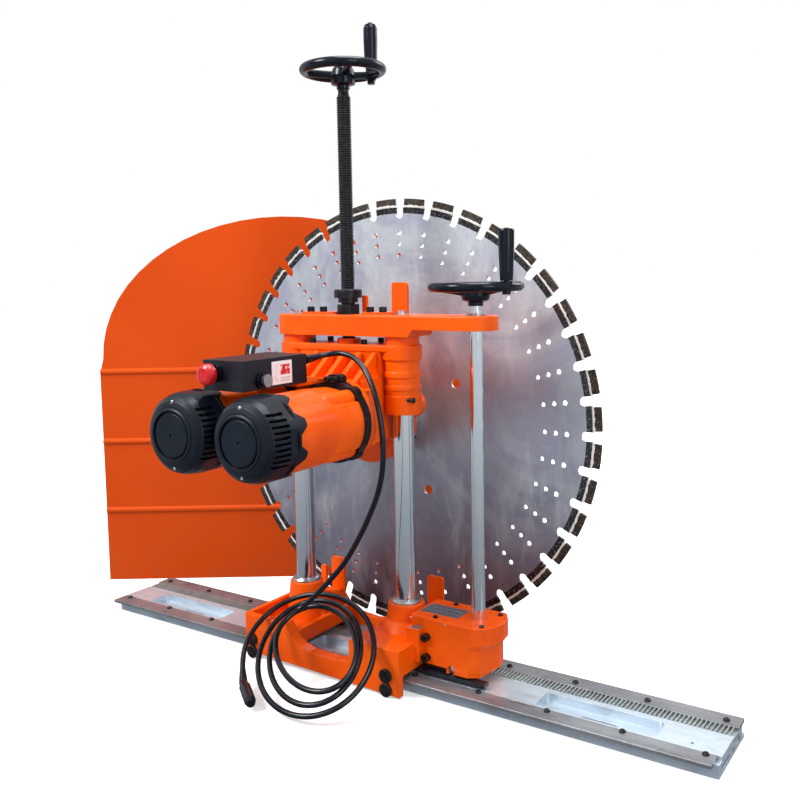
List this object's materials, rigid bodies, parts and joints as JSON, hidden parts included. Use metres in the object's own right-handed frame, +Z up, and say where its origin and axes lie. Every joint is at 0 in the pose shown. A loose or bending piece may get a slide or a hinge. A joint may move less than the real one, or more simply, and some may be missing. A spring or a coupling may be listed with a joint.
{
  "type": "track-mounted wall saw",
  "caption": "Track-mounted wall saw: orange carriage on a toothed rail, two guide posts, a lifting head with two motors, a large diamond blade, two handwheels and a standing hood.",
  "frame": {"origin": "middle of the track's flat underside, on the floor", "axes": "+X along the track towards the travel handwheel, +Y towards the blade side, +Z up"},
  "size_m": [1.4411, 0.9481, 1.106],
  "materials": {
    "track_metal": "satin anodised",
    "strip_steel": "ground",
    "rack_steel": "milled",
    "orange_casting": "orange powder coat, satin",
    "orange_sheet": "satin",
    "polished_steel": "polished",
    "plain_steel": "turned",
    "black_steel": "black oxide",
    "black_box": "satin",
    "black_plastic": "gloss",
    "motor_plastic": "satin",
    "bearing_bronze": "turned",
    "winding_iron": "rough",
    "blade_steel": "brushed, heat tinted",
    "segment": "rough",
    "cable_rubber": "satin",
    "red_plastic": "gloss",
    "white_label": "matt"
  },
  "bodies": {
    "track": {"track_base": "track_metal", "front_guide_strip": "strip_steel", "rear_guide_strip": "strip_steel", "gear_rack": "rack_steel", "strip_screws": "black_steel"},
    "carriage": {"carriage_casting": "orange_casting", "guide_posts": "polished_steel", "shaft_collars": "plain_steel", "roller_studs": "black_steel", "gearbox_housing": "orange_casting", "gearbox_cover": "orange_casting", "gearbox_plate": "plain_steel", "black_socket_screws": "black_steel", "bright_screws": "plain_steel", "rail_wiper": "black_box", "top_plate": "orange_casting", "lift_nut": "black_steel", "lock_ring": "black_steel", "guard_tongues": "orange_casting", "cable_coil": "cable_rubber", "cable_plug": "cable_rubber"},
    "feed_shaft": {"travel_shaft": "polished_steel", "travel_handwheel": "black_plastic"},
    "feed_handle": {"travel_handle": "black_plastic"},
    "pinion": {"travel_pinion": "plain_steel"},
    "head": {"head_casting": "orange_casting", "post_bushes": "bearing_bronze", "gear_case_cover": "orange_casting", "head_bearings": "plain_steel", "head_screws": "black_steel", "motor_housings": "orange_casting", "motor_caps": "motor_plastic", "motor_adapter": "black_steel", "motor_stators": "winding_iron", "control_box": "black_box", "box_label": "white_label", "switch_bezels": "black_plastic", "cable_gland": "black_plastic", "cable_run": "cable_rubber"},
    "screw": {"lead_screw": "black_steel", "lift_handwheel": "black_plastic"},
    "screw_handle": {"lift_handle": "black_plastic"},
    "blade": {"spindle": "polished_steel", "spindle_gear": "plain_steel", "blade_flanges": "polished_steel", "blade_core": "blade_steel", "blade_segments": "segment"},
    "rotor_left": {"armature_left": "winding_iron"},
    "rotor_right": {"armature_right": "winding_iron"},
    "stop": {"stop_button": "red_plastic"},
    "switch": {"power_switch": "plain_steel"},
    "guard": {"blade_guard": "orange_sheet"},
    "roller_front_upper_left": {"roller_front_upper_left": "plain_steel"},
    "roller_front_upper_right": {"roller_front_upper_right": "plain_steel"},
    "roller_front_lower_left": {"roller_front_lower_left": "plain_steel"},
    "roller_front_lower_right": {"roller_front_lower_right": "plain_steel"},
    "roller_rear_upper_left": {"roller_rear_upper_left": "plain_steel"},
    "roller_rear_upper_right": {"roller_rear_upper_right": "plain_steel"},
    "roller_rear_lower_left": {"roller_rear_lower_left": "plain_steel"},
    "roller_rear_lower_right": {"roller_rear_lower_right": "plain_steel"}
  },
  "joints": [
    {"name": "carriage_travel", "type": "slide", "parent": "track", "child": "carriage", "axis": [1, 0, 0], "range_m": [-0.13, 0.34]},
    {"name": "head_lift", "type": "slide", "parent": "carriage", "child": "head", "axis": [0, 0, 1], "range_m": [-0.235, 0], "deforming": ["cable_run"]},
    {"name": "travel_shaft_spin", "type": "hinge", "parent": "carriage", "child": "feed_shaft", "pos_m": [0.2, 0, 0.654], "axis": [0, 0, 1], "continuous": true},
    {"name": "travel_handle_spin", "type": "hinge", "parent": "feed_shaft", "child": "feed_handle", "pos_m": [0.26344, -0.01819, 0.7], "axis": [0, 0, 1], "continuous": true},
    {"name": "pinion_spin", "type": "hinge", "parent": "carriage", "child": "pinion", "pos_m": [0.176, 0, 0.044], "axis": [0, 1, 0], "continuous": true},
    {"name": "lift_screw_spin", "type": "hinge", "parent": "head", "child": "screw", "pos_m": [-0.05, 0, 1.018], "axis": [0, 0, 1], "continuous": true},
    {"name": "lift_handle_spin", "type": "hinge", "parent": "screw", "child": "screw_handle", "pos_m": [-0.0376, 0.06381, 1.06], "axis": [0, 0, 1], "continuous": true},
    {"name": "blade_spin", "type": "hinge", "parent": "head", "child": "blade", "pos_m": [-0.05, 0.15, 0.413], "axis": [0, 1, 0], "continuous": true},
    {"name": "rotor_left_spin", "type": "hinge", "parent": "head", "child": "rotor_left", "pos_m": [-0.1175, -0.2, 0.44569], "axis": [0, 1, 0], "continuous": true},
    {"name": "rotor_right_spin", "type": "hinge", "parent": "head", "child": "rotor_right", "pos_m": [0.0175, -0.2, 0.44569], "axis": [0, 1, 0], "continuous": true},
    {"name": "stop_button_press", "type": "slide", "parent": "head", "child": "stop", "axis": [0, 1, 0], "range_m": [0, 0.005]},
    {"name": "power_switch_press", "type": "slide", "parent": "head", "child": "switch", "axis": [-1, 0, 0], "range_m": [0, 0.003], "stiffness_N_per_m": 300, "springref_m": -0.004},
    {"name": "guard_lift", "type": "slide", "parent": "track", "child": "guard", "axis": [0, 0, 1], "range_m": [0, 0.3]},
    {"name": "roller_front_upper_left_spin", "type": "hinge", "parent": "carriage", "child": "roller_front_upper_left", "pos_m": [-0.2, -0.079, 0.0353], "axis": [0, 1, 0], "continuous": true},
    {"name": "roller_front_upper_right_spin", "type": "hinge", "parent": "carriage", "child": "roller_front_upper_right", "pos_m": [0.088, -0.079, 0.0353], "axis": [0, 1, 0], "continuous": true},
    {"name": "roller_front_lower_left_spin", "type": "hinge", "parent": "carriage", "child": "roller_front_lower_left", "pos_m": [-0.2, -0.079, 0.0107], "axis": [0, 1, 0], "continuous": true},
    {"name": "roller_front_lower_right_spin", "type": "hinge", "parent": "carriage", "child": "roller_front_lower_right", "pos_m": [0.088, -0.079, 0.0107], "axis": [0, 1, 0], "continuous": true},
    {"name": "roller_rear_upper_left_spin", "type": "hinge", "parent": "carriage", "child": "roller_rear_upper_left", "pos_m": [-0.2, 0.063, 0.0373], "axis": [0, 1, 0], "continuous": true},
    {"name": "roller_rear_upper_right_spin", "type": "hinge", "parent": "carriage", "child": "roller_rear_upper_right", "pos_m": [0.088, 0.063, 0.0373], "axis": [0, 1, 0], "continuous": true},
    {"name": "roller_rear_lower_left_spin", "type": "hinge", "parent": "carriage", "child": "roller_rear_lower_left", "pos_m": [-0.2, 0.0615, 0.0152], "axis": [0, 1, 0], "continuous": true},
    {"name": "roller_rear_lower_right_spin", "type": "hinge", "parent": "carriage", "child": "roller_rear_lower_right", "pos_m": [0.088, 0.0615, 0.0152], "axis": [0, 1, 0], "continuous": true}
  ],
  "couplings": [
    {"joint": "roller_front_upper_left_spin", "follows": "carriage_travel", "rad_per_m": 111.11},
    {"joint": "roller_front_upper_right_spin", "follows": "carriage_travel", "rad_per_m": 111.11},
    {"joint": "roller_front_lower_left_spin", "follows": "carriage_travel", "rad_per_m": -111.11},
    {"joint": "roller_front_lower_right_spin", "follows": "carriage_travel", "rad_per_m": -111.11},
    {"joint": "roller_rear_upper_left_spin", "follows": "carriage_travel", "rad_per_m": 111.11},
    {"joint": "roller_rear_upper_right_spin", "follows": "carriage_travel", "rad_per_m": 111.11},
    {"joint": "roller_rear_lower_left_spin", "follows": "carriage_travel", "rad_per_m": -153.85},
    {"joint": "roller_rear_lower_right_spin", "follows": "carriage_travel", "rad_per_m": -153.85},
    {"joint": "pinion_spin", "follows": "carriage_travel", "rad_per_m": 55.556},
    {"joint": "travel_shaft_spin", "follows": "carriage_travel", "rad_per_m": 1111.1},
    {"joint": "lift_screw_spin", "follows": "head_lift", "rad_per_m": 1570.8},
    {"joint": "rotor_left_spin", "follows": "blade_spin", "ratio": -4},
    {"joint": "rotor_right_spin", "follows": "blade_spin", "ratio": -4}
  ]
}
